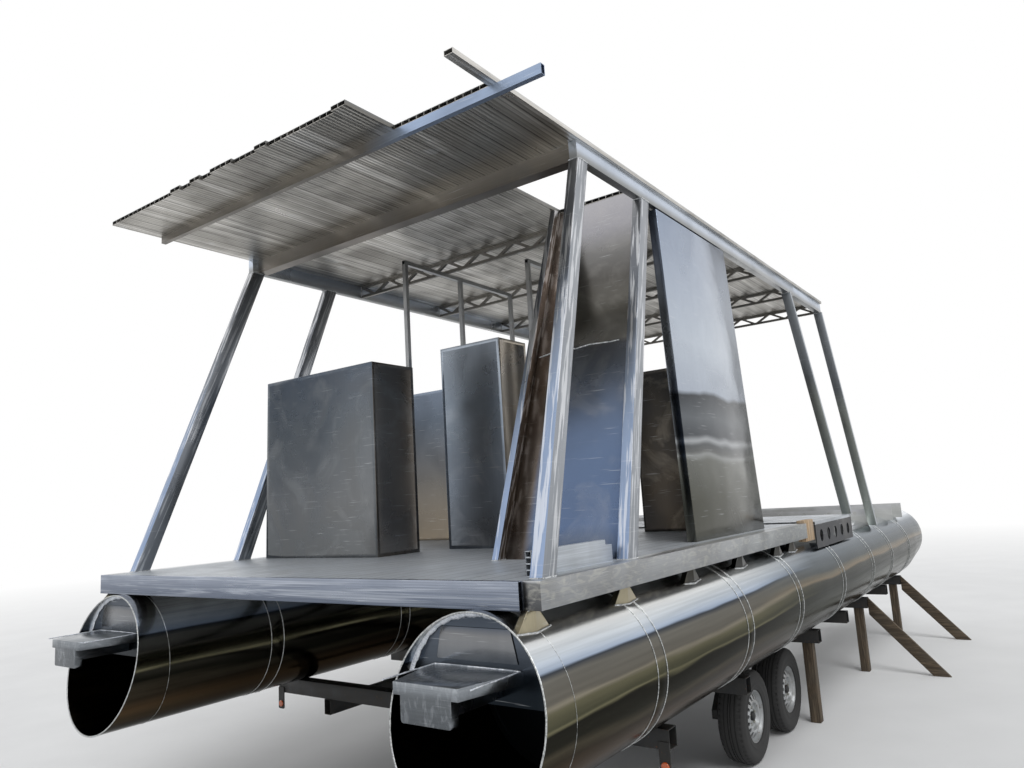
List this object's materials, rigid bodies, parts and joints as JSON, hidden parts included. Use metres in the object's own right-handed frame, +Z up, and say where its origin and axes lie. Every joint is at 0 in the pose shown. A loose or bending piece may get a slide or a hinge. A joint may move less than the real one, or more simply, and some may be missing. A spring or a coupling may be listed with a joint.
{
  "type": "twin-hull aluminium houseboat on a trailer",
  "caption": "Unfinished aluminium pontoon houseboat with raked posts and plank roof, ashore on a trailer and timber props; its wheels spin.",
  "frame": {"origin": "on the ground, under the middle of the whole length and width", "axes": "+X to the bow, +Y to port, +Z up"},
  "size_m": [9.4, 4.35, 3.785],
  "materials": {
    "mill_aluminium": "bare mill-finish sheet and extrusions, hazy, scratched",
    "rolled_aluminium": "shiny rolled plate with welded rings",
    "dull_aluminium": "dull matt tube",
    "dark_steel": "black-grey painted steel, dusty",
    "wheel_steel": "silver painted pressed steel",
    "tyre_rubber": "black rubber",
    "weathered_timber": "rough sawn, weathered"
  },
  "bodies": {
    "boat_on_trailer": {"deck_planks": "mill_aluminium", "bow_deck_planks": "mill_aluminium", "stern_fascia": "mill_aluminium", "roof_planks_port": "mill_aluminium", "roof_planks_starboard_aft": "mill_aluminium", "roof_planks_starboard_bow": "mill_aluminium", "roof_edge_plank": "mill_aluminium", "cabinet_port_aft": "mill_aluminium", "cabinet_centre": "mill_aluminium", "cabinet_port_bow": "mill_aluminium", "cabinet_starboard": "mill_aluminium", "side_wall_panel": "mill_aluminium", "hatch_wall": "mill_aluminium", "curb_planks": "mill_aluminium", "bow_ribs": "mill_aluminium", "bow_side_plates": "mill_aluminium", "stern_bulkheads": "mill_aluminium", "motor_shelves": "mill_aluminium", "hull_starboard": "rolled_aluminium", "hull_port": "rolled_aluminium", "hull_skirts": "rolled_aluminium", "side_beams": "dull_aluminium", "deck_crossbeams": "dull_aluminium", "hull_brackets": "dull_aluminium", "posts_stern": "dull_aluminium", "posts_second": "dull_aluminium", "posts_bow_aft": "dull_aluminium", "posts_bow": "dull_aluminium", "roof_beams": "dull_aluminium", "roof_stern_beam": "dull_aluminium", "roof_overhang_tube": "dull_aluminium", "roof_trusses": "dull_aluminium", "hatch_post": "dull_aluminium", "inner_frame_port": "dull_aluminium", "inner_frame_centre": "dull_aluminium", "trailer_rails": "dark_steel", "trailer_bearers": "dark_steel", "trailer_drawbar": "dark_steel", "trailer_front_beam": "dark_steel", "trailer_coupling": "dark_steel", "trailer_jack": "dark_steel", "trailer_marker_plates": "dark_steel", "axle_aft": "dark_steel", "axle_bow": "dark_steel", "timber_props": "weathered_timber", "timber_shores": "weathered_timber", "beam_end_block": "weathered_timber"},
    "wheel_starboard_aft": {"tyre_starboard_aft": "tyre_rubber", "rim_starboard_aft": "wheel_steel"},
    "wheel_starboard_bow": {"tyre_starboard_bow": "tyre_rubber", "rim_starboard_bow": "wheel_steel"},
    "wheel_port_aft": {"tyre_port_aft": "tyre_rubber", "rim_port_aft": "wheel_steel"},
    "wheel_port_bow": {"tyre_port_bow": "tyre_rubber", "rim_port_bow": "wheel_steel"}
  },
  "joints": [
    {"name": "starboard_aft_spin", "type": "hinge", "parent": "boat_on_trailer", "child": "wheel_starboard_aft", "pos_m": [-1.365, -1.253, 0.305], "axis": [0, 1, 0], "continuous": true},
    {"name": "starboard_bow_spin", "type": "hinge", "parent": "boat_on_trailer", "child": "wheel_starboard_bow", "pos_m": [-0.57, -1.253, 0.305], "axis": [0, 1, 0], "continuous": true},
    {"name": "port_aft_spin", "type": "hinge", "parent": "boat_on_trailer", "child": "wheel_port_aft", "pos_m": [-1.365, 1.253, 0.305], "axis": [0, 1, 0], "continuous": true},
    {"name": "port_bow_spin", "type": "hinge", "parent": "boat_on_trailer", "child": "wheel_port_bow", "pos_m": [-0.57, 1.253, 0.305], "axis": [0, 1, 0], "continuous": true}
  ]
}
